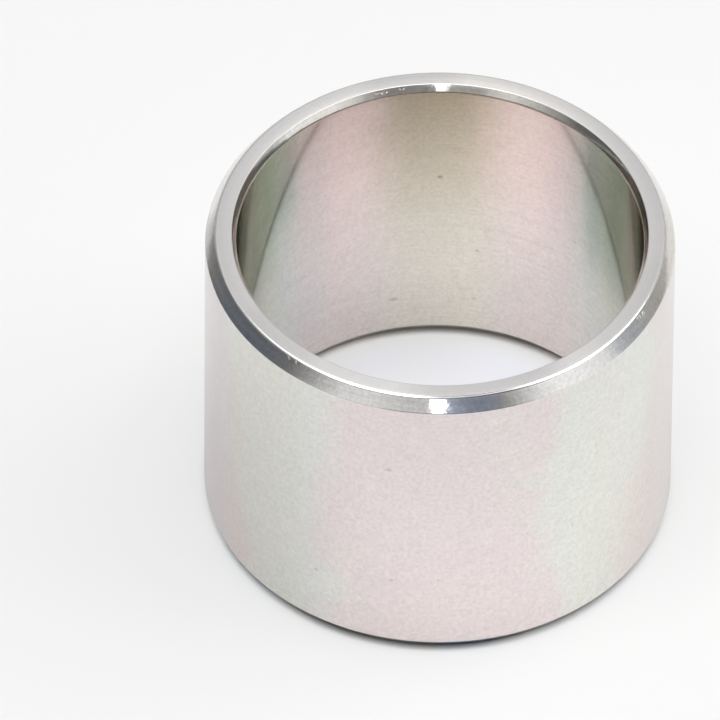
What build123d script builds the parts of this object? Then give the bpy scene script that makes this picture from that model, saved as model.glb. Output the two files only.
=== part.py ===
"""Spacer sleeve: a short steel ring, turned in one piece and zinc plated.

The sleeve stands on its lower end face, with its axis on +Z and its origin at the centre of that
face. At each end a narrow flat ring seats against the neighbouring part, a steep lead-in chamfer
outside it guides the sleeve into a housing, and one inside it guides the shaft into the bore. The
bore's chamfer is slim at the upper mouth, where a soft round leads on into the bore, and about as
wide as the outer ones at the lower mouth. A small radius breaks every edge of that turned profile.

All sizes are in millimetres.
"""
import os

from build123d import *

# Overall sizes
OUTER_DIAMETER = 30.0
BORE_DIAMETER = 26.0
SLEEVE_LENGTH = 23.0

# Lead-in chamfer at both ends of the outer wall: height along the axis, depth towards it
LEAD_IN_HEIGHT = 0.90
LEAD_IN_DEPTH = 0.65

# Chamfers at the mouths of the bore: height along the axis, depth away from it
UPPER_MOUTH_HEIGHT = 0.52
UPPER_MOUTH_DEPTH = 0.30
LOWER_MOUTH_HEIGHT = 0.90
LOWER_MOUTH_DEPTH = 0.60

# Radii that break the turned edges
WALL_EDGE_RADIUS = 0.20
FACE_EDGE_RADIUS = 0.30
MOUTH_EDGE_RADIUS = 0.08
UPPER_BORE_EDGE_RADIUS = 0.40
LOWER_BORE_EDGE_RADIUS = 0.15

# Distance from the axis to each corner of the turned profile, from the outer wall to the bore
wall_radius = OUTER_DIAMETER / 2
bore_radius = BORE_DIAMETER / 2
face_radius = wall_radius - LEAD_IN_DEPTH
upper_mouth_radius = bore_radius + UPPER_MOUTH_DEPTH
lower_mouth_radius = bore_radius + LOWER_MOUTH_DEPTH

# Corners of the section through the wall, each with the radius that breaks it: up the outside,
# across the top face, down the bore and back across the lower face
section = {
    (face_radius, 0): FACE_EDGE_RADIUS,
    (wall_radius, LEAD_IN_HEIGHT): WALL_EDGE_RADIUS,
    (wall_radius, SLEEVE_LENGTH - LEAD_IN_HEIGHT): WALL_EDGE_RADIUS,
    (face_radius, SLEEVE_LENGTH): FACE_EDGE_RADIUS,
    (upper_mouth_radius, SLEEVE_LENGTH): MOUTH_EDGE_RADIUS,
    (bore_radius, SLEEVE_LENGTH - UPPER_MOUTH_HEIGHT): UPPER_BORE_EDGE_RADIUS,
    (bore_radius, LOWER_MOUTH_HEIGHT): LOWER_BORE_EDGE_RADIUS,
    (lower_mouth_radius, 0): MOUTH_EDGE_RADIUS,
}

os.makedirs("parts", exist_ok=True)

with BuildPart() as spacer_sleeve:
    with BuildSketch(Plane.XZ):
        with BuildLine():
            FilletPolyline(*section, radius=list(section.values()), close=True)
        make_face()
    revolve(axis=Axis.Z)

spacer_sleeve.part.label = "spacer_sleeve"
export_step(spacer_sleeve.part, "parts/spacer_sleeve.step")
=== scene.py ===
"""Spacer sleeve: a short steel ring, turned in one piece and zinc plated, standing on its end.

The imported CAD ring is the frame. A finer ring of the same section stands in for it, so that the
turned edges and the round of the wall read true, and each turned surface gets its own finish.
All lengths are in metres.
"""

import logging
import math
from dataclasses import dataclass
from enum import Enum
from typing import Any, Callable, Sequence

import bmesh
import bpy
from mathutils import Matrix, Vector

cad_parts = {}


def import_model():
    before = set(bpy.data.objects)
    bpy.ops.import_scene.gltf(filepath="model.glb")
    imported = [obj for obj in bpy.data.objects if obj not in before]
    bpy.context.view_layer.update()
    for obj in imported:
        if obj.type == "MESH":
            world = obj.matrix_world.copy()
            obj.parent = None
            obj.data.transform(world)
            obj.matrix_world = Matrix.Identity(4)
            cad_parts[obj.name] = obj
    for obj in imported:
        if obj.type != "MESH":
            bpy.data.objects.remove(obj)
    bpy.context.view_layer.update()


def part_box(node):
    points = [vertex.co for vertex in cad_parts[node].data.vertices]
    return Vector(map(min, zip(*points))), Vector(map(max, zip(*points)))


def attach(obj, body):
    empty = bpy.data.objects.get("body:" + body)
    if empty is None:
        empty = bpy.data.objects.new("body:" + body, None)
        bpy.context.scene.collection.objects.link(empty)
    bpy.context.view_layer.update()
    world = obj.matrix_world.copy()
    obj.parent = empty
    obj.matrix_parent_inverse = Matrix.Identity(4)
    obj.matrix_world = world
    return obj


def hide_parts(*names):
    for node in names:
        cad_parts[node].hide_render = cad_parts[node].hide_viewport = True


LOG = logging.getLogger("spacer_sleeve")
MM = 0.001

Colour = tuple[float, float, float]
Span = tuple[float, float]

WHITE: Colour = (1.0, 1.0, 1.0)
BLACK: Colour = (0.0, 0.0, 0.0)


# ---------------------------------------------------------------- shader maths


@dataclass(frozen=True)
class Noise:
    """A kind of noise.

    Fields: scale is how fine it is, per unit of the coordinates that it is read at, detail is how
    many octaves it has, and roughness is how strong the finer octaves are.
    """

    scale: float
    detail: float
    roughness: float


class Value:
    """A number or a colour that varies over a surface, held as a shader socket."""

    def __init__(self, graph: "Graph", socket: bpy.types.NodeSocket) -> None:
        """Wraps a socket of the graph's tree."""
        self.graph = graph
        self.socket = socket

    def __add__(self, other: "Value | float") -> "Value":
        """Sum."""
        return self.graph.math("ADD", self, other)

    def __radd__(self, other: float) -> "Value":
        """Sum, reflected."""
        return self.graph.math("ADD", other, self)

    def __sub__(self, other: "Value | float") -> "Value":
        """Difference."""
        return self.graph.math("SUBTRACT", self, other)

    def __rsub__(self, other: float) -> "Value":
        """Difference, reflected."""
        return self.graph.math("SUBTRACT", other, self)

    def __mul__(self, other: "Value | float") -> "Value":
        """Product."""
        return self.graph.math("MULTIPLY", self, other)

    def __rmul__(self, other: float) -> "Value":
        """Product, reflected."""
        return self.graph.math("MULTIPLY", other, self)

    def __truediv__(self, other: "Value | float") -> "Value":
        """Quotient."""
        return self.graph.math("DIVIDE", self, other)


class Graph:
    """The nodes of one material or of the world, added one call at a time."""

    def __init__(self, tree: bpy.types.NodeTree) -> None:
        """Empties the tree.

        Args:
            tree: the node tree to fill.
        """
        self.tree = tree
        self.tree.nodes.clear()

    def node(
        self,
        kind: str,
        settings: dict[str, Any] | None = None,
        inputs: dict[str | int, Any] | None = None,
    ) -> bpy.types.Node:
        """Adds a node, sets it up, and then fills its sockets.

        Args:
            kind: the node's type.
            settings: its properties, with a ramp's stops under "stops".
            inputs: values or links of its sockets, by name or number.

        Returns:
            The node.
        """
        made = self.tree.nodes.new(kind)
        for name, value in (settings or {}).items():
            if name == "stops":
                self._stops(made.color_ramp, value)
            else:
                setattr(made, name, value)
        for key, value in (inputs or {}).items():
            socket = made.inputs[key]
            if isinstance(value, Value):
                self.tree.links.new(value.socket, socket)
            elif isinstance(value, bpy.types.NodeSocket):
                self.tree.links.new(value, socket)
            elif socket.type == "RGBA":
                socket.default_value = (*value, 1.0)
            else:
                socket.default_value = value
        return made

    @staticmethod
    def _stops(ramp: bpy.types.ColorRamp, stops: Sequence[tuple[float, Colour]]) -> None:
        """Gives a ramp its stops.

        Args:
            ramp: the ramp, with fewer stops than it is to have.
            stops: positions and colours, in rising order.
        """
        while len(ramp.elements) < len(stops):
            ramp.elements.new(1.0)
        for element, (position, colour) in zip(ramp.elements, stops):
            element.position = position
            element.color = (*colour, 1.0)

    def out(self, node: bpy.types.Node, output: str | int = 0) -> Value:
        """One of a node's outputs, as a value."""
        return Value(self, node.outputs[output])

    def math(self, operation: str, *operands: "Value | float") -> Value:
        """A Math node."""
        settings = {"operation": operation}
        return self.out(self.node("ShaderNodeMath", settings, dict(enumerate(operands))))

    def step(self, value: Value, low: float, high: float) -> Value:
        """A soft step from 0 at low to 1 at high.

        Args:
            value: what is compared.
            low: where the step starts.
            high: where it ends, and it may be below low.

        Returns:
            A number from 0 to 1.
        """
        if low > high:
            return 1 - self.step(value, high, low)
        settings = {"interpolation_type": "SMOOTHSTEP"}
        inputs = {"Value": value, "From Min": low, "From Max": high}
        return self.out(self.node("ShaderNodeMapRange", settings, inputs))

    def mix(
        self,
        share: Value,
        a: "Value | Colour",
        b: "Value | Colour",
        blend: str = "MIX",
    ) -> Value:
        """A colour mix.

        Args:
            share: how much of b.
            a: the first colour.
            b: the second colour.
            blend: how they are put together.

        Returns:
            The mixed colour.
        """
        settings = {"data_type": "RGBA", "blend_type": blend}
        made = self.node("ShaderNodeMix", settings, {"Factor": share, 6: a, 7: b})
        return self.out(made, 2)

    def blend(self, share: Value, a: Value, b: Value) -> Value:
        """A mix of two shaders, with the second one's share."""
        return self.out(self.node("ShaderNodeMixShader", None, {0: share, 1: a, 2: b}))

    def vector(self, operation: str, *operands: Any) -> Value:
        """A Vector Math node that gives a vector."""
        settings = {"operation": operation}
        return self.out(self.node("ShaderNodeVectorMath", settings, dict(enumerate(operands))))

    def length(self, vector: Value) -> Value:
        """A vector's length."""
        made = self.node("ShaderNodeVectorMath", {"operation": "LENGTH"}, {0: vector})
        return self.out(made, "Value")

    def parts(self, vector: Value) -> tuple[Value, Value, Value]:
        """A vector's three parts."""
        made = self.node("ShaderNodeSeparateXYZ", None, {0: vector})
        return self.out(made, "X"), self.out(made, "Y"), self.out(made, "Z")

    def join(self, x: Value, y: Value, z: Value) -> Value:
        """A vector or a colour made of its three parts."""
        return self.out(self.node("ShaderNodeCombineXYZ", None, {0: x, 1: y, 2: z}))

    def noise(self, vector: Value, kind: Noise) -> Value:
        """A noise between 0 and 1.

        Args:
            vector: where it is read.
            kind: what it is like.

        Returns:
            The noise.
        """
        inputs = {
            "Vector": vector,
            "Scale": kind.scale,
            "Detail": kind.detail,
            "Roughness": kind.roughness,
        }
        return self.out(self.node("ShaderNodeTexNoise", {"noise_dimensions": "3D"}, inputs), "Fac")

    @staticmethod
    def swing(noise: Value, amount: float) -> Value:
        """A noise as a swing of up to amount either way."""
        return (noise - 0.5) * (2 * amount)


def new_material(name: str) -> tuple[bpy.types.Material, Graph]:
    """Makes an empty material.

    Args:
        name: its name.

    Returns:
        The material, and the graph that fills it.
    """
    material = bpy.data.materials.new(name)
    material.use_nodes = True
    return material, Graph(material.node_tree)


class TurnedCoordinates:
    """Where a point is on a turned part: its angle in radians, its radius and its height."""

    def __init__(self, graph: Graph) -> None:
        """Reads the object's own coordinates.

        Args:
            graph: the material's nodes.
        """
        self.graph = graph
        self.place = graph.out(graph.node("ShaderNodeTexCoord"), "Object")
        self.x, self.y, self.height = graph.parts(self.place)
        self.radius = graph.math("SQRT", self.x * self.x + self.y * self.y)
        self.angle = graph.math("ARCTAN2", self.y, self.x)

    def stretched(self, across: float, along: float) -> Value:
        """Coordinates for marks that run round the part.

        Args:
            across: how fast the pattern changes round the part, per metre.
            along: how fast it changes up the part, per metre.

        Returns:
            A vector.
        """
        return self.graph.vector("MULTIPLY", self.place, (across, across, along))

    def rings(self, across: float, along: float) -> Value:
        """Coordinates for marks that run round an end face.

        Args:
            across: how fast the pattern changes round the face, per metre.
            along: how fast it changes outwards, per metre.

        Returns:
            A vector.
        """
        return self.graph.join(self.x * across, self.y * across, self.radius * along)


# ---------------------------------------------------------------- finishes

# How fast each pattern of marks changes, per metre: round the part, and across the marks.
WALL_STREAKS = (60.0, 5200.0)
WALL_MARKS = (40.0, 9000.0)
FACE_RINGS = (90.0, 7000.0)
FILM_DRIFT = (110.0, 80.0)

STREAK = Noise(1.0, 3.0, 0.6)
MARK = Noise(1.0, 2.0, 0.7)
CLOUD = Noise(1100.0, 3.0, 0.55)
GRAIN = Noise(4000.0, 2.0, 0.7)
SPECKLE = Noise(3500.0, 2.0, 0.6)
RIPPLE = Noise(650.0, 3.0, 0.6)

# A mark lies on one side of the part only, which fades in over this distance from the axis.
FACING: Span = (0.0, 1.0 * MM)
# A pit fades in between these shares of its half size.
PIT_EDGE: Span = (1.3, 0.4)
# The share of a patch's half width and half height that has its full colour.
PATCH_CORE = 0.35
# Of the sine of the angle: the bore's half that lies ahead, where the film's bands may fade.
FRONT: Span = (0.3, -0.25)
# Of the cosine of twice the angle: the part's front and back, against its right and left.
FLANK: Span = (-0.9, 0.1)
# A quarter turn, so that highlights spread across the marks of the tool.
ACROSS_THE_MARKS = 0.25


@dataclass(frozen=True)
class Pit:
    """A small dark pit or fleck in the plating, or a ding in a chamfer.

    Fields: angle in degrees round the part, height in metres, its half width and half height in
    metres, and how dark or deep it is, as a share.
    """

    angle: float
    height: float
    across: float = 0.14 * MM
    tall: float = 0.14 * MM
    depth: float = 0.14

    def lay(self, g: Graph, at: TurnedCoordinates) -> Value:
        """Works out how much light or height the pit leaves.

        Args:
            g: the material's nodes.
            at: the part's coordinates.

        Returns:
            1 away from the pit, and less in it.
        """
        sine, cosine = math.sin(math.radians(self.angle)), math.cos(math.radians(self.angle))
        facing = g.step(at.x * cosine + at.y * sine, *FACING)
        u = (at.x * -sine + at.y * cosine) / self.across
        v = (at.height - self.height) / self.tall
        spot = g.step(g.math("SQRT", u * u + v * v), *PIT_EDGE)
        return 1 - spot * facing * self.depth


@dataclass(frozen=True)
class FilmTintAndPaintedLight:
    """A soft patch that is painted on the plating and changes its colour.

    Where it only shifts the hue, it is a thicker or thinner film. Where it makes the plating
    lighter or darker, it is painted light: painted shade and painted highlights that copy
    reflections, which the lamps and the room don't give by themselves.

    Fields: angle and half width in degrees round the part, the colour that multiplies the
    plating's own, and, where the patch has an upper and a lower edge, its height and half height
    in metres.
    """

    angle: float
    spread: float
    tint: Colour
    height: float = 0.0
    reach: float = 0.0

    def lay(self, g: Graph, at: TurnedCoordinates, colour: Value) -> Value:
        """Lays the patch on a colour.

        Args:
            g: the material's nodes.
            at: the part's coordinates.
            colour: the colour under it.

        Returns:
            The colour with the patch.
        """
        near = g.math("COSINE", at.angle - math.radians(self.angle))
        edge = math.cos(math.radians(self.spread))
        core = math.cos(math.radians(self.spread * PATCH_CORE))
        mask = g.step(near, edge, core)
        if self.reach > 0:
            off = g.math("ABSOLUTE", at.height - self.height)
            mask = mask * g.step(off, self.reach, self.reach * PATCH_CORE)
        return g.mix(mask, colour, self.tint, "MULTIPLY")


@dataclass(frozen=True)
class Film:
    """The hues that a clear passivate drifts between: on its crests, between them, and at the sides;
    where one film is lighter or darker than another, that is painted light and shade.
    """

    rose: Colour
    green: Colour
    side: Colour

    def lay(self, g: Graph, crest: Value, flank: Value) -> Value:
        """Mixes the hues.

        Args:
            g: the material's nodes.
            crest: 1 on a rose crest and 0 between two.
            flank: 1 at the part's right and left and 0 at its front and back.

        Returns:
            The film's colour.
        """
        return g.mix(crest, g.mix(flank, self.green, self.side), self.rose)


@dataclass(frozen=True)
class PlatedFinish:
    """A plated metal. Each kind of it works out its looks from the place on the part."""

    name: str

    def build(self) -> bpy.types.Material:
        """Makes the material.

        Returns:
            The material.
        """
        material, g = new_material(self.name)
        looks = self._looks(g, TurnedCoordinates(g))
        looks["Anisotropic Rotation"] = ACROSS_THE_MARKS
        shader = g.node("ShaderNodeBsdfPrincipled", None, looks)
        g.node("ShaderNodeOutputMaterial", None, {"Surface": g.out(shader)})
        return material

    def _looks(self, g: Graph, at: TurnedCoordinates) -> dict[str, Any]:
        """Works out the shader's values, by socket, in each kind of finish."""
        raise NotImplementedError


@dataclass(frozen=True)
class ZincFinish(PlatedFinish):
    """Bright zinc plating over a turned surface, with the faint rose and green of a clear passivate.

    Fields: low and top are the film's hues at the two ends of span, a range of heights, and where
    one is lighter than the other it is painted light and shade; lobes is how many rose crests
    there are round the part, and crest is the angle in degrees of one of them; contrast is where
    on the wave a crest starts and is full, wander is how far the crests stray, widen is how much
    wider they are at the foot, and calm is how far they fade in the front half. Streak, clouds
    and grain are how far each swings the colour, and the two dull fields are how far clouds and
    streaks swing the roughness.
    """

    low: Film
    top: Film
    span: Span
    lobes: int
    crest: float
    contrast: Span
    wander: float
    roughness: float
    clouds: float
    grain: float
    widen: float = 0.0
    calm: float = 0.0
    edge_tint: Colour = WHITE
    metallic: float = 0.88
    anisotropy: float = 0.3
    streak: float = 0.03
    dull_clouds: float = 0.03
    dull_streaks: float = 0.025
    mark_depth: float = 0.004 * MM
    mark_strength: float = 0.12
    tints_and_painted_light: tuple[FilmTintAndPaintedLight, ...] = ()
    pits: tuple[Pit, ...] = ()

    def _looks(self, g: Graph, at: TurnedCoordinates) -> dict[str, Any]:
        """Works out the plating's colour, its roughness and the marks of the tool.

        Args:
            g: the material's nodes.
            at: the part's coordinates.

        Returns:
            The shader's values, by socket.
        """
        streaks = g.noise(at.stretched(*WALL_STREAKS), STREAK)
        clouds = g.noise(at.place, CLOUD)
        grain = g.noise(at.place, GRAIN)
        level = 1 + g.swing(streaks, self.streak) + g.swing(clouds, self.clouds)
        level = level + g.swing(grain, self.grain)
        for pit in self.pits:
            level = level * pit.lay(g, at)
        rough = self.roughness + g.swing(clouds, self.dull_clouds) + g.swing(streaks, self.dull_streaks)
        marks = g.noise(at.stretched(*WALL_MARKS), MARK)
        bump = {"Strength": self.mark_strength, "Distance": self.mark_depth, "Height": marks}
        return {
            "Base Color": g.vector("MULTIPLY", self._film(g, at), g.join(level, level, level)),
            "Metallic": self.metallic,
            "Roughness": rough,
            "Anisotropic": self.anisotropy,
            "Specular Tint": self.edge_tint,
            "Normal": g.out(g.node("ShaderNodeBump", None, bump)),
        }

    def _film(self, g: Graph, at: TurnedCoordinates) -> Value:
        """Works out the film's colour.

        Args:
            g: the material's nodes.
            at: the part's coordinates.

        Returns:
            The colour.
        """
        drift = g.swing(g.noise(at.stretched(*FILM_DRIFT), STREAK), 3 * self.wander)
        wave = g.math("COSINE", (at.angle - math.radians(self.crest)) * float(self.lobes) + drift)
        wave = wave * (1 - g.step(g.math("SINE", at.angle), *FRONT) * self.calm)
        top, bottom = self.span[1], self.span[0]
        foot = g.step(at.height, top, bottom)
        crest = g.step(wave + foot * self.widen, *self.contrast)
        flank = g.step(g.math("COSINE", at.angle * 2.0), *FLANK)
        colour = g.mix(foot, self.top.lay(g, crest, flank), self.low.lay(g, crest, flank))
        # Film tints, and painted light: painted shade and painted highlights.
        for painted_patch in self.tints_and_painted_light:
            colour = painted_patch.lay(g, at, colour)
        return colour


@dataclass(frozen=True)
class TurnedEdgeFinish(PlatedFinish):
    """Plating over a cone or an end face that was cut with a pointed tool, so its marks are rings.

    Fields: streak and speckle are how far each swings the colour, and the two dull fields are how
    far they swing the roughness; chatter is the height of the ripples that the tool's chatter
    leaves; paler_inwards is how much paler the surface is towards the bore, and paler_radii is the
    range of radii where that fades in; mark_depth and ding_depth are the heights of the tool's marks
    and of the dings.
    """

    colour: Colour
    roughness: float
    metallic: float = 0.92
    anisotropy: float = 0.2
    streak: float = 0.05
    speckle: float = 0.04
    dull_speckle: float = 0.025
    dull_streaks: float = 0.02
    chatter: float = 0.0
    paler_inwards: float = 0.0
    paler_radii: Span = (14.1 * MM, 13.4 * MM)
    mark_depth: float = 0.0006 * MM
    ding_depth: float = 0.05 * MM
    tints_and_painted_light: tuple[FilmTintAndPaintedLight, ...] = ()
    dings: tuple[Pit, ...] = ()

    def _looks(self, g: Graph, at: TurnedCoordinates) -> dict[str, Any]:
        """Works out the plating's colour, its roughness, and its rings, ripples and dings.

        Args:
            g: the material's nodes.
            at: the part's coordinates.

        Returns:
            The shader's values, by socket.
        """
        streaks = g.noise(at.rings(*FACE_RINGS), STREAK)
        speckle = g.noise(at.place, SPECKLE)
        level = 1 + g.swing(streaks, self.streak) + g.swing(speckle, self.speckle)
        # Paler towards the bore.
        if self.paler_inwards > 0:
            level = level + g.step(at.radius, *self.paler_radii) * self.paler_inwards
        colour = g.vector("MULTIPLY", self.colour, g.join(level, level, level))
        # Film tints, and painted light: painted shade and painted highlights.
        for painted_patch in self.tints_and_painted_light:
            colour = painted_patch.lay(g, at, colour)
        rough = self.roughness + g.swing(speckle, self.dull_speckle) + g.swing(streaks, self.dull_streaks)
        height = streaks * self.mark_depth
        if self.chatter > 0:
            height = height + g.noise(at.place, RIPPLE) * self.chatter
        for ding in self.dings:
            height = height + ding.lay(g, at) * self.ding_depth
        bump = {"Strength": 1.0, "Distance": 1.0, "Height": height}
        return {
            "Base Color": colour,
            "Metallic": self.metallic,
            "Roughness": rough,
            "Anisotropic": self.anisotropy,
            "Normal": g.out(g.node("ShaderNodeBump", None, bump)),
        }


class Surface(Enum):
    """The turned surfaces of the sleeve, each with its own finish."""

    WALL = 0
    BORE = 1
    FACE = 2
    LEAD_IN = 3
    MOUTH = 4
    EDGE = 5
    RIM = 6


# ---------------------------------------------------------------- the sleeve

# How far a face of the ring may tilt from upright, in degrees, to be on each surface.
OUTER_TILTS = (
    (15.0, Surface.WALL),
    (44.0, Surface.LEAD_IN),
    (76.0, Surface.RIM),
    (91.0, Surface.FACE),
)
INNER_TILTS = (
    (12.0, Surface.BORE),
    (36.0, Surface.MOUTH),
    (86.0, Surface.EDGE),
    (91.0, Surface.FACE),
)

# How near a vertex has to be to a cut, to a corner and to its double, to count as there.
CUT_TOLERANCE = 1e-7
CORNER_TOLERANCE = 2e-6
DOUBLE_TOLERANCE = 1e-6
# The bevel's profile that is an arc of a circle.
ROUND_PROFILE = 0.5
# The strongest lead that broad faces can have over narrow ones in the shading.
FULL_WEIGHT = 100


@dataclass
class SpacerSleeve:
    """The sleeve as one closed ring.

    Its half section is drawn, its corners are cut and rounded, and it is spun round the axis.

    Fields: the heights and depths of the chamfers, the radii of the eight rounds between them,
    and how many steps the ring and each round have.
    """

    outer_radius: float
    length: float
    finishes: dict[Surface, PlatedFinish]
    bore_radius: float = 13.0 * MM
    lead_in_height: float = 0.90 * MM
    lead_in_depth: float = 0.65 * MM
    upper_mouth_height: float = 0.52 * MM
    upper_mouth_depth: float = 0.30 * MM
    lower_mouth_height: float = 0.90 * MM
    lower_mouth_depth: float = 0.60 * MM
    wall_edge: float = 0.20 * MM
    face_edge: float = 0.30 * MM
    mouth_edge: float = 0.08 * MM
    upper_bore_edge: float = 0.40 * MM
    lower_bore_edge: float = 0.15 * MM
    steps: int = 480
    edge_steps: int = 6

    def build(self) -> bpy.types.Object:
        """Models and dresses the sleeve.

        Returns:
            The finished ring, at the origin.
        """
        piece = self._half_section()
        self._cut_corners()
        self._break_edges()
        self._spin()
        bpy.ops.object.mode_set(mode="OBJECT")
        self._dress(piece)
        self._smooth(piece)
        return piece

    def _half_section(self) -> bpy.types.Object:
        """Draws the wall's section as a plane, standing on the X axis, and opens it for editing.

        Returns:
            The section, in edit mode.
        """
        wall = self.outer_radius - self.bore_radius
        centre = (self.bore_radius + wall / 2, 0.0, self.length / 2)
        upright = (math.pi / 2, 0.0, 0.0)
        bpy.ops.mesh.primitive_plane_add(size=self.length, location=centre, rotation=upright)
        piece = bpy.context.object
        piece.name = "sleeve"
        bpy.ops.object.transform_apply(location=True, rotation=True, scale=True)
        bpy.ops.object.mode_set(mode="EDIT")
        bpy.ops.mesh.select_mode(type="VERT")
        bpy.ops.mesh.select_all(action="SELECT")
        bpy.ops.transform.resize(value=(wall / self.length, 1.0, 1.0), center_override=centre)
        return piece

    def _cut_corners(self) -> None:
        """Cuts the lead-ins and the mouths off the section's four corners."""
        lead_in = (self.outer_radius, 1.0, self.lead_in_depth, self.lead_in_height)
        upper_mouth = (self.bore_radius, -1.0, self.upper_mouth_depth, self.upper_mouth_height)
        lower_mouth = (self.bore_radius, -1.0, self.lower_mouth_depth, self.lower_mouth_height)
        ends = ((self.length, 1.0, (lead_in, upper_mouth)), (0.0, -1.0, (lead_in, lower_mouth)))
        for end, up, corners in ends:
            for radius, side, depth, height in corners:
                bpy.ops.mesh.select_all(action="SELECT")
                bpy.ops.mesh.bisect(
                    plane_co=(radius - side * depth, 0.0, end),
                    plane_no=(side * height, 0.0, up * depth),
                    clear_outer=True,
                    threshold=CUT_TOLERANCE,
                )

    def _break_edges(self) -> None:
        """Rounds the section's eight corners, with the offset that gives each its radius."""
        square, top = math.pi / 2, self.length
        lead_in = math.atan2(self.lead_in_depth, self.lead_in_height)
        upper = math.atan2(self.upper_mouth_depth, self.upper_mouth_height)
        lower = math.atan2(self.lower_mouth_depth, self.lower_mouth_height)
        face = self.outer_radius - self.lead_in_depth
        corners = (
            (face, 0.0, self.face_edge, square - lead_in),
            (self.outer_radius, self.lead_in_height, self.wall_edge, lead_in),
            (self.outer_radius, top - self.lead_in_height, self.wall_edge, lead_in),
            (face, top, self.face_edge, square - lead_in),
            (self.bore_radius + self.upper_mouth_depth, top, self.mouth_edge, square - upper),
            (self.bore_radius, top - self.upper_mouth_height, self.upper_bore_edge, upper),
            (self.bore_radius, self.lower_mouth_height, self.lower_bore_edge, lower),
            (self.bore_radius + self.lower_mouth_depth, 0.0, self.mouth_edge, square - lower),
        )
        for x, z, edge, turn in corners:
            self._pick(lambda v, x=x, z=z: math.hypot(v.co.x - x, v.co.z - z) < CORNER_TOLERANCE)
            bpy.ops.mesh.bevel(
                offset=edge * math.tan(turn / 2),
                segments=self.edge_steps,
                profile=ROUND_PROFILE,
                affect="VERTICES",
            )

    @staticmethod
    def _pick(wanted: Callable[[bmesh.types.BMVert], bool]) -> None:
        """Selects some vertices of the piece in edit mode, and nothing else.

        Args:
            wanted: the test that they pass.
        """
        bpy.ops.mesh.select_all(action="DESELECT")
        mesh = bmesh.from_edit_mesh(bpy.context.object.data)
        for vertex in mesh.verts:
            vertex.select_set(wanted(vertex))
        mesh.select_flush_mode()
        bmesh.update_edit_mesh(bpy.context.object.data)

    def _spin(self) -> None:
        """Spins the section's outline into the ring, closes it, and turns its faces outwards."""
        bpy.ops.mesh.select_all(action="SELECT")
        bpy.ops.mesh.delete(type="ONLY_FACE")
        bpy.ops.mesh.select_all(action="SELECT")
        bpy.ops.mesh.spin(
            steps=self.steps,
            angle=math.tau,
            center=(0.0, 0.0, 0.0),
            axis=(0.0, 0.0, 1.0),
        )
        bpy.ops.mesh.select_all(action="SELECT")
        bpy.ops.mesh.remove_doubles(threshold=DOUBLE_TOLERANCE)
        bpy.ops.mesh.normals_make_consistent(inside=False)

    @staticmethod
    def _surface_of(polygon: bpy.types.MeshPolygon) -> Surface:
        """Which turned surface a face of the ring belongs to.

        Args:
            polygon: the face.

        Returns:
            Its surface.
        """
        centre, normal = polygon.center, polygon.normal
        outwards = (centre.x * normal.x + centre.y * normal.y) / math.hypot(centre.x, centre.y)
        tilt = math.degrees(math.atan2(abs(normal.z), abs(outwards)))
        limits = OUTER_TILTS if outwards > 0 else INNER_TILTS
        return next(surface for limit, surface in limits if tilt < limit)

    def _dress(self, piece: bpy.types.Object) -> None:
        """Gives each turned surface of the ring its finish.

        Args:
            piece: the ring.
        """
        for surface in Surface:
            piece.data.materials.append(self.finishes[surface].build())
        for polygon in piece.data.polygons:
            polygon.material_index = self._surface_of(polygon).value

    @staticmethod
    def _smooth(piece: bpy.types.Object) -> None:
        """Shades the ring smooth, with the broad surfaces leading the narrow rounds between them.

        Args:
            piece: the ring.
        """
        bpy.ops.object.shade_smooth()
        bpy.ops.object.modifier_add(type="WEIGHTED_NORMAL")
        modifier = piece.modifiers[-1]
        modifier.mode = "FACE_AREA"
        modifier.weight = FULL_WEIGHT
        modifier.keep_sharp = False
        bpy.ops.object.modifier_apply(modifier=modifier.name)


# ---------------------------------------------------------------- the studio


@dataclass(frozen=True)
class Softbox:
    """A square lamp that faces the sleeve.

    Fields: azimuth in degrees round the sleeve from its right, elevation in degrees above the
    floor, distance and size in metres, and power in watts.
    """

    name: str
    azimuth: float
    elevation: float
    distance: float
    size: float
    power: float

    def build(self, target: Vector) -> None:
        """Places the lamp.

        Args:
            target: what it faces.
        """
        data = bpy.data.lights.new(self.name, "AREA")
        data.shape = "SQUARE"
        data.size = self.size
        data.energy = self.power
        lamp = bpy.data.objects.new(self.name, data)
        bpy.context.scene.collection.objects.link(lamp)
        turn, rise = math.radians(self.azimuth), math.radians(self.elevation)
        level = math.cos(rise)
        away = Vector((math.cos(turn) * level, math.sin(turn) * level, math.sin(rise)))
        lamp.location = target + away * self.distance
        lamp.rotation_mode = "QUATERNION"
        lamp.rotation_quaternion = away.to_track_quat("Z", "Y")


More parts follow.
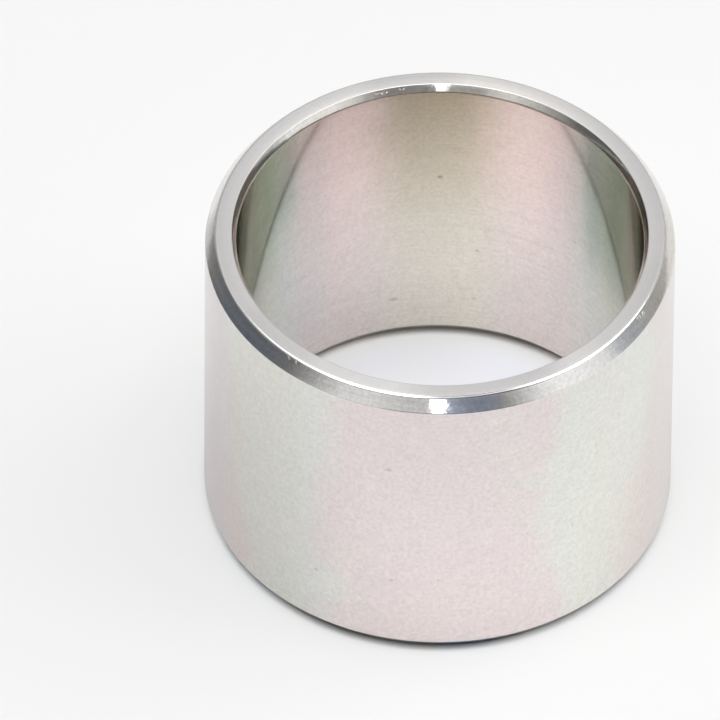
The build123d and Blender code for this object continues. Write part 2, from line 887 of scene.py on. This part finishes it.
@dataclass(frozen=True)
class PaperFinish:
    """Pale paper that the camera sees lifted towards white, with the sleeve's shadow kept.

    Each span is where a soft edge starts and where it is full, in metres unless it says otherwise.

    Fields: table_centre and table_edge are where metal stops seeing the paper and sees the room;
    lift is how far all the paper is lifted. The paper beside the wall is lifted by painted_bounce
    more, between beside and beyond, a painted light as if the wall threw light back on it; the
    paper inside the sleeve is lifted by inner more, within inner_edge and to the right of
    inner_side, a painted light as if a lamp reached it over the rim. The lift inside the sleeve
    also has the cooler inner_hue, within hue_edge. The contact is the ring of paper under the
    chamfers, with a soft edge of contact_reach: it isn't lifted, and gap_shade darkens it with a
    painted contact shadow where its direction is near gap_way, by the cosine's span of gap_ends.
    """

    name: str = "pale_paper"
    colour: Colour = (0.86, 0.86, 0.86)
    table_centre: tuple[float, float] = (0.06, 0.0)
    table_edge: Span = (0.11, 0.22)
    lift: float = 0.32
    painted_bounce: float = 0.18
    beside: Span = (14.5 * MM, 15.5 * MM)
    beyond: Span = (34.0 * MM, 18.0 * MM)
    inner: float = 0.2
    inner_edge: Span = (13.6 * MM, 11.5 * MM)
    inner_side: Span = (-1.0 * MM, 5.0 * MM)
    inner_hue: Colour = (0.94, 0.97, 1.09)
    hue_edge: Span = (13.6 * MM, 11.0 * MM)
    contact: Span = (13.60 * MM, 14.35 * MM)
    contact_reach: float = 0.7 * MM
    gap_shade: float = 0.36
    gap_way: tuple[float, float] = (0.174, 0.985)
    gap_ends: Span = (0.8, 0.99)

    def build(self) -> bpy.types.Material:
        """Makes the material.

        Returns:
            The material.
        """
        material, g = new_material(self.name)
        place = g.out(g.node("ShaderNodeTexCoord"), "Object")
        x, y, _ = g.parts(place)
        radius = g.length(place)
        path = g.node("ShaderNodeLightPath")
        paper = g.out(g.node("ShaderNodeBsdfDiffuse", None, {"Color": self.colour}))
        table = g.out(g.node("ShaderNodeBsdfTransparent"))
        away = g.length(g.vector("SUBTRACT", place, (*self.table_centre, 0.0)))
        paper = g.blend(g.step(away, *self.table_edge) * g.out(path, "Is Glossy Ray"), paper, table)
        # Inside the sleeve the lift is a cooler painted light.
        hue = g.mix(g.step(radius, *self.hue_edge), WHITE, self.inner_hue)
        white = g.out(g.node("ShaderNodeEmission", None, {"Color": hue, "Strength": 1.0}))
        ring = self._contact(g, radius)
        lift = g.out(path, "Is Camera Ray") * self._lift(g, x, radius) * (1 - ring)
        lit = g.blend(lift, paper, white)
        # Painted contact shadow in the ring under the chamfers, strongest ahead of and behind the axis.
        dark = g.out(g.node("ShaderNodeEmission", None, {"Color": BLACK, "Strength": 0.0}))
        along = g.math("ABSOLUTE", y * self.gap_way[1] + x * self.gap_way[0]) / radius
        gap = ring * g.step(along, *self.gap_ends) * self.gap_shade
        g.node("ShaderNodeOutputMaterial", None, {"Surface": g.blend(gap, lit, dark)})
        return material

    def _lift(self, g: Graph, x: Value, radius: Value) -> Value:
        """How far the camera sees the paper lifted towards white: the even lift, with painted light
        beside the wall and inside the sleeve.

        Args:
            g: the paper's nodes.
            x: how far to the right of the sleeve's axis a point is.
            radius: how far from the axis it is.

        Returns:
            The share of white.
        """
        # Painted light beside the wall, and painted light inside the sleeve.
        painted_bounce = g.step(radius, *self.beside) * g.step(radius, *self.beyond)
        inner = g.step(radius, *self.inner_edge) * g.step(x, *self.inner_side)
        return painted_bounce * self.painted_bounce + self.lift + inner * self.inner

    def _contact(self, g: Graph, radius: Value) -> Value:
        """The ring of paper where the sleeve stands on it, under its chamfers, which takes the painted
        contact shadow.

        Args:
            g: the paper's nodes.
            radius: how far from the axis a point is.

        Returns:
            0 on open paper, and 1 in the ring.
        """
        inner, outer = self.contact
        outside = g.step(radius, outer + self.contact_reach, outer)
        inside = g.step(radius, inner - self.contact_reach, inner)
        return outside * inside


@dataclass(frozen=True)
class Window:
    """A small bright window ahead of the sleeve, narrower at its sill.

    Fields: the spans are its soft edges, along the parts of the direction that it is seen in;
    taper is how much it widens as it rises, and light is how bright it is.
    """

    side: Span = (0.032, 0.022)
    taper: float = 0.06
    front: Span = (-0.1, -0.2)
    sill: Span = (0.14, 0.2)
    head: Span = (0.56, 0.50)
    light: Colour = (3.0, 3.0, 3.0)

    def lay(self, g: Graph, way: tuple[Value, Value, Value], walls: Value) -> Value:
        """Sets the window in the room's walls.

        Args:
            g: the world's nodes.
            way: the three parts of the direction.
            walls: the walls' colour.

        Returns:
            The walls' colour with the window.
        """
        x, y, z = way
        side = g.step(g.math("ABSOLUTE", x) - z * self.taper, *self.side)
        level = g.step(z, *self.sill) * g.step(z, *self.head)
        return g.mix(side * g.step(y, *self.front) * level, walls, self.light)


@dataclass(frozen=True)
class Stand:
    """A dark stand that hides some of the low wall ahead of the sleeve.

    Fields: the spans are its soft edges, along the parts of the direction that it is seen in;
    offset is how far to the left it stands, and body and foot are how much they hide.
    """

    ahead: Span = (-0.55, -0.8)
    offset: float = 0.1
    side: Span = (0.36, 0.2)
    top: Span = (0.36, 0.26)
    body: float = 0.4
    foot_top: Span = (0.16, 0.04)
    foot: float = 0.3

    def lay(self, g: Graph, way: tuple[Value, Value, Value], walls: Value) -> Value:
        """Sets the stand in front of the room's walls.

        Args:
            g: the world's nodes.
            way: the three parts of the direction.
            walls: the walls' colour.

        Returns:
            The walls' colour with the stand.
        """
        x, y, z = way
        side = g.step(g.math("ABSOLUTE", x + self.offset), *self.side)
        body = side * g.step(z, *self.top) * self.body
        foot = g.step(z, *self.foot_top) * self.foot
        return g.mix(g.step(y, *self.ahead) * (body + foot), walls, BLACK)


@dataclass(frozen=True)
class Room:
    """The room's light: plain for what isn't shiny, and walls and a ceiling for what reflects.

    Fields: plain is the light from the left and from the right, which changes over plain_side,
    and front_shade is how much less comes from ahead, over plain_front; ceiling and backdrop are
    the upper room ahead and behind, which change over behind, and cornice is where the walls end,
    in degrees above the floor; walls is how bright they are, by the angle in degrees.
    """

    plain: tuple[Colour, Colour] = ((0.18, 0.18, 0.18), (0.40, 0.40, 0.40))
    plain_side: Span = (-0.4, 0.9)
    plain_front: Span = (-0.1, -0.7)
    front_shade: float = 0.7
    ceiling: Colour = (0.35, 0.35, 0.35)
    backdrop: Colour = (0.68, 0.68, 0.68)
    behind: Span = (0.2, 0.5)
    cornice: Span = (30.0, 42.0)
    stand: Stand = Stand()
    window: Window = Window()
    walls: tuple[tuple[float, float], ...] = (
        (-180.0, 0.10),
        (-158.0, 0.12),
        (-150.0, 0.28),
        (-141.0, 0.52),
        (-132.0, 0.74),
        (-122.0, 0.75),
        (-115.0, 0.69),
        (-104.0, 0.57),
        (-96.0, 0.57),
        (-84.0, 0.37),
        (-74.0, 0.21),
        (-62.0, 0.23),
        (-54.0, 0.48),
        (-46.0, 0.77),
        (-36.0, 0.98),
        (-24.0, 0.94),
        (-11.0, 0.78),
        (-5.0, 0.50),
        (2.0, 0.37),
        (20.0, 0.37),
        (40.0, 0.55),
        (90.0, 0.62),
        (135.0, 0.40),
        (150.0, 0.13),
        (180.0, 0.10),
    )

    def build(self) -> None:
        """Makes the world."""
        world = bpy.data.worlds.new("studio")
        bpy.context.scene.world = world
        world.use_nodes = True
        g = Graph(world.node_tree)
        way = g.parts(g.out(g.node("ShaderNodeTexCoord"), "Generated"))
        path = g.node("ShaderNodeLightPath")
        colour = g.mix(g.out(path, "Is Glossy Ray"), self._plain(g, way), self._walls(g, way))
        colour = g.mix(g.out(path, "Is Camera Ray"), colour, WHITE)
        background = g.node("ShaderNodeBackground", None, {"Color": colour, "Strength": 1.0})
        g.node("ShaderNodeOutputWorld", None, {"Surface": g.out(background)})

    def _plain(self, g: Graph, way: tuple[Value, Value, Value]) -> Value:
        """The light on what isn't shiny.

        Args:
            g: the world's nodes.
            way: the three parts of the direction.

        Returns:
            Its colour.
        """
        x, y, _ = way
        plain = g.mix(g.step(x, *self.plain_side), *self.plain)
        return g.mix(g.step(y, *self.plain_front) * self.front_shade, plain, BLACK)

    def _walls(self, g: Graph, way: tuple[Value, Value, Value]) -> Value:
        """What shiny metal reflects: lighter and darker walls, a plain upper room, stand, window.

        Args:
            g: the world's nodes.
            way: the three parts of the direction.

        Returns:
            Its colour.
        """
        x, y, z = way
        turn = g.math("ARCTAN2", y, x) / math.tau + 0.5
        stops = [((angle + 180.0) / 360.0, (level, level, level)) for angle, level in self.walls]
        ramp = g.node("ShaderNodeValToRGB", {"stops": stops}, {"Fac": turn})
        low, high = (math.sin(math.radians(angle)) for angle in self.cornice)
        upper = g.mix(g.step(y, *self.behind), self.ceiling, self.backdrop)
        walls = g.mix(g.step(z, low, high), g.out(ramp), upper)
        return self.window.lay(g, way, self.stand.lay(g, way, walls))


@dataclass(frozen=True)
class Studio:
    """The floor, the room and the lamps.

    Fields: floor_side is the floor's side, and aim is how high up the sleeve the lamps face.
    """

    lamps: tuple[Softbox, ...] = (
        Softbox("lamp_right", azimuth=8.0, elevation=62.0, distance=0.6, size=0.42, power=1.50),
        Softbox("lamp_left", azimuth=165.0, elevation=76.0, distance=0.6, size=0.42, power=0.76),
        Softbox("lamp_top", azimuth=-120.0, elevation=74.0, distance=0.6, size=0.42, power=1.62),
    )
    aim: float = 11.5 * MM
    floor_side: float = 6.0
    paper: PaperFinish = PaperFinish()
    room: Room = Room()

    def build(self) -> None:
        """Sets up the floor, the room and the lamps."""
        bpy.ops.mesh.primitive_plane_add(size=self.floor_side, location=(0.0, 0.0, 0.0))
        floor = bpy.context.object
        floor.name = "floor"
        floor.data.materials.append(self.paper.build())
        self.room.build()
        for lamp in self.lamps:
            lamp.build(Vector((0.0, 0.0, self.aim)))


@dataclass(frozen=True)
class StudioCamera:
    """A long lens that looks down on the sleeve from the front.

    Fields: elevation and roll in degrees, aim, distance and the range that it sees in metres,
    lens and the sensor's width in millimetres.
    """

    elevation: float = 46.52
    roll: float = 0.518
    aim: tuple[float, float, float] = (-0.00504, -0.00587, 0.01743)
    distance: float = 1.875
    sight: tuple[float, float] = (0.05, 20.0)
    lens: float = 1470.5
    sensor: float = 36.0

    def build(self) -> None:
        """Places the camera and makes it the scene's own."""
        data = bpy.data.cameras.new("studio_camera")
        data.lens = self.lens
        data.sensor_width = self.sensor
        data.clip_start, data.clip_end = self.sight
        camera = bpy.data.objects.new("studio_camera", data)
        bpy.context.scene.collection.objects.link(camera)
        rise = math.radians(self.elevation)
        back = Vector((0.0, -math.cos(rise), math.sin(rise)))
        tilt = Matrix.Rotation(math.pi / 2 - rise, 4, "X")
        roll = Matrix.Rotation(math.radians(self.roll), 4, "Z")
        place = Matrix.Translation(Vector(self.aim) + back * self.distance)
        camera.matrix_world = place @ tilt @ roll
        bpy.context.scene.camera = camera


# ---------------------------------------------------------------- putting it together


def finishes() -> dict[Surface, PlatedFinish]:
    """The finish of each turned surface.

    Returns:
        The finishes, by surface.
    """
    wall = ZincFinish(
        "zinc_wall",
        # The wall's foot is painted lighter than its top: painted light.
        low=Film(rose=(0.88, 0.79, 0.785), green=(0.86, 0.87, 0.825), side=(0.86, 0.855, 0.83)),
        top=Film(rose=(0.81, 0.73, 0.725), green=(0.80, 0.81, 0.765), side=(0.80, 0.795, 0.77)),
        span=(0.0, 23.0 * MM),
        lobes=4,
        crest=-90.0,
        contrast=(-0.65, 0.3),
        widen=0.35,
        wander=0.7,
        roughness=0.2,
        anisotropy=0.5,
        grain=0.22,
        clouds=0.04,
        # The patch at -145 degrees is painted shade; the others shift the film's hue.
        tints_and_painted_light=(
            FilmTintAndPaintedLight(-145.0, 34.0, (0.905, 0.905, 0.91), height=3.0 * MM, reach=25.0 * MM),
            FilmTintAndPaintedLight(-172.0, 26.0, (0.965, 1.0, 0.995)),
            FilmTintAndPaintedLight(-14.0, 26.0, (0.965, 1.0, 0.98)),
            FilmTintAndPaintedLight(-140.0, 16.0, (1.0, 1.01, 0.96)),
            FilmTintAndPaintedLight(-42.0, 18.0, (1.0, 1.01, 0.97)),
        ),
        pits=(
            Pit(-102.2, 16.55 * MM, 0.24 * MM, 0.15 * MM, 0.24),
            Pit(-101.2, 6.35 * MM, depth=0.26),
            Pit(-121.0, 5.3 * MM, depth=0.24),
            Pit(-89.6, 6.7 * MM, 0.13 * MM, 0.13 * MM, 0.18),
            Pit(-89.0, 18.4 * MM, 0.15 * MM, 0.12 * MM, 0.15),
            Pit(-55.0, 9.1 * MM, 0.12 * MM, 0.12 * MM, 0.2),
            Pit(-128.0, 10.4 * MM, 0.14 * MM, 0.12 * MM, 0.14),
            Pit(-78.0, 1.9 * MM, 0.14 * MM, 0.12 * MM, 0.16),
        ),
    )
    bore = ZincFinish(
        "zinc_bore",
        low=Film(rose=(0.86, 0.785, 0.785), green=(0.855, 0.825, 0.76), side=(0.82, 0.82, 0.81)),
        # Its top is painted darker and more olive than its foot: painted shade.
        top=Film(rose=(0.99, 0.79, 0.755), green=(0.58, 0.50, 0.375), side=(0.73, 0.785, 0.69)),
        span=(4.0 * MM, 24.0 * MM),
        edge_tint=(0.59, 0.61, 0.56),
        lobes=6,
        crest=62.0,
        contrast=(-0.8, 1.0),
        wander=0.3,
        calm=0.85,
        metallic=0.96,
        roughness=0.09,
        grain=0.2,
        streak=0.08,
        clouds=0.06,
        # Painted shade and painted highlights that copy reflections in the bore, with slight hue shifts.
        tints_and_painted_light=(
            FilmTintAndPaintedLight(113.0, 34.0, (0.92, 0.92, 0.93)),
            FilmTintAndPaintedLight(35.0, 12.0, (0.78, 0.82, 0.80), height=18.0 * MM, reach=10.0 * MM),
            FilmTintAndPaintedLight(143.0, 10.0, (0.82, 0.86, 0.84), height=21.0 * MM, reach=8.0 * MM),
            FilmTintAndPaintedLight(134.0, 14.0, (0.94, 0.98, 1.01), height=12.0 * MM, reach=14.0 * MM),
            FilmTintAndPaintedLight(48.0, 12.0, (0.96, 0.985, 1.01), height=14.0 * MM, reach=12.0 * MM),
            FilmTintAndPaintedLight(166.0, 12.0, (1.15, 1.13, 1.13), height=19.0 * MM, reach=12.0 * MM),
            FilmTintAndPaintedLight(151.0, 9.0, (0.90, 0.94, 0.92), height=17.0 * MM, reach=8.0 * MM),
            FilmTintAndPaintedLight(28.0, 9.0, (0.91, 0.94, 0.92), height=17.0 * MM, reach=8.0 * MM),
        ),
        pits=(
            Pit(90.0, 14.7 * MM, 0.20 * MM, 0.17 * MM, 0.36),
            Pit(79.2, 8.1 * MM, 0.16 * MM, 0.15 * MM, 0.26),
            Pit(103.0, 3.6 * MM, 0.34 * MM, 0.17 * MM, 0.26),
            Pit(80.0, 3.6 * MM, 0.20 * MM, 0.13 * MM, 0.2),
            Pit(48.0, 12.2 * MM, 0.14 * MM, 0.13 * MM, 0.2),
            Pit(92.0, 20.1 * MM, 0.30 * MM, 0.12 * MM, 0.10),
        ),
    )
    face = TurnedEdgeFinish(
        "zinc_face",
        colour=(0.78, 0.765, 0.76),
        roughness=0.3,
        anisotropy=0.7,
        paler_inwards=0.07,
        # Painted shade and a painted highlight that copy reflections on the end face.
        tints_and_painted_light=(
            FilmTintAndPaintedLight(-77.0, 26.0, (0.82, 0.82, 0.82)),
            FilmTintAndPaintedLight(-28.0, 24.0, (0.93, 0.93, 0.92)),
            FilmTintAndPaintedLight(-138.0, 16.0, (0.92, 0.92, 0.92)),
            FilmTintAndPaintedLight(66.0, 26.0, (1.05, 1.04, 1.01)),
            FilmTintAndPaintedLight(98.0, 16.0, (0.89, 0.89, 0.89)),
        ),
    )
    lead_in = TurnedEdgeFinish(
        "zinc_lead_in",
        colour=(0.85, 0.83, 0.815),
        roughness=0.07,
        streak=0.16,
        speckle=0.17,
        chatter=0.014 * MM,
        # Painted reflections: darker and bluish bands on the chamfer.
        tints_and_painted_light=(
            FilmTintAndPaintedLight(-148.0, 20.0, (0.80, 0.88, 1.0)),
            FilmTintAndPaintedLight(-82.0, 9.0, (0.82, 0.92, 1.12)),
            FilmTintAndPaintedLight(-35.0, 9.0, (0.91, 0.95, 1.01)),
            FilmTintAndPaintedLight(-7.0, 25.0, (0.89, 0.87, 0.83)),
            FilmTintAndPaintedLight(-178.0, 12.0, (0.78, 0.78, 0.78)),
        ),
        dings=(
            Pit(-131.0, 22.92 * MM, 0.17 * MM, 0.14 * MM, 0.6),
            Pit(-128.6, 22.88 * MM, 0.13 * MM, 0.12 * MM, 0.5),
            Pit(-29.0, 22.80 * MM, 0.16 * MM, 0.14 * MM, 0.6),
            Pit(-27.0, 22.72 * MM, 0.12 * MM, 0.12 * MM, 0.5),
        ),
    )
    mouth = TurnedEdgeFinish(
        "zinc_mouth",
        colour=(0.80, 0.765, 0.72),
        roughness=0.1,
        streak=0.14,
        speckle=0.14,
        chatter=0.014 * MM,
        # Painted shade, and a painted highlight at 161 degrees.
        tints_and_painted_light=(
            FilmTintAndPaintedLight(2.0, 16.0, (0.62, 0.60, 0.56)),
            FilmTintAndPaintedLight(36.0, 14.0, (0.86, 0.88, 0.88)),
            FilmTintAndPaintedLight(62.0, 8.0, (0.87, 0.88, 0.88)),
            FilmTintAndPaintedLight(161.0, 34.0, (1.22, 1.27, 1.32)),
        ),
        dings=(
            Pit(101.0, 22.85 * MM, 0.15 * MM, 0.10 * MM, 0.5),
            Pit(106.0, 22.80 * MM, 0.20 * MM, 0.10 * MM, 0.6),
            Pit(108.0, 22.84 * MM, 0.12 * MM, 0.08 * MM, 0.5),
        ),
    )
    # Its darker colour is painted shade that dims the lamps' line on this round.
    edge = TurnedEdgeFinish("zinc_edge", colour=(0.66, 0.645, 0.63), roughness=0.45)
    rim = TurnedEdgeFinish(
        "zinc_rim",
        colour=(0.82, 0.81, 0.80),
        roughness=0.16,
        speckle=0.10,
        # The dark patch at -81.5 degrees is painted shade over the lamps' line beside the glint.
        tints_and_painted_light=(FilmTintAndPaintedLight(-81.5, 18.0, (0.24, 0.24, 0.25)),),
    )
    return {
        Surface.WALL: wall,
        Surface.BORE: bore,
        Surface.FACE: face,
        Surface.LEAD_IN: lead_in,
        Surface.MOUTH: mouth,
        Surface.EDGE: edge,
        Surface.RIM: rim,
    }


def main() -> None:
    """Builds the scene in order: frame, camera, sleeve, studio."""
    logging.basicConfig(level=logging.INFO, format="%(name)s: %(message)s")
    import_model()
    bpy.ops.object.select_all(action="DESELECT")
    bpy.context.scene.view_settings.view_transform = "Standard"
    StudioCamera().build()
    low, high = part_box("spacer_sleeve")
    sleeve = SpacerSleeve(outer_radius=min(high.x, high.y), length=high.z - low.z, finishes=finishes())
    piece = sleeve.build()
    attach(piece, "root")
    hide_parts("spacer_sleeve")
    LOG.info("%s: %d faces, %.2f mm long", piece.name, len(piece.data.polygons), sleeve.length / MM)
    Studio().build()


if __name__ == "__main__":
    main()
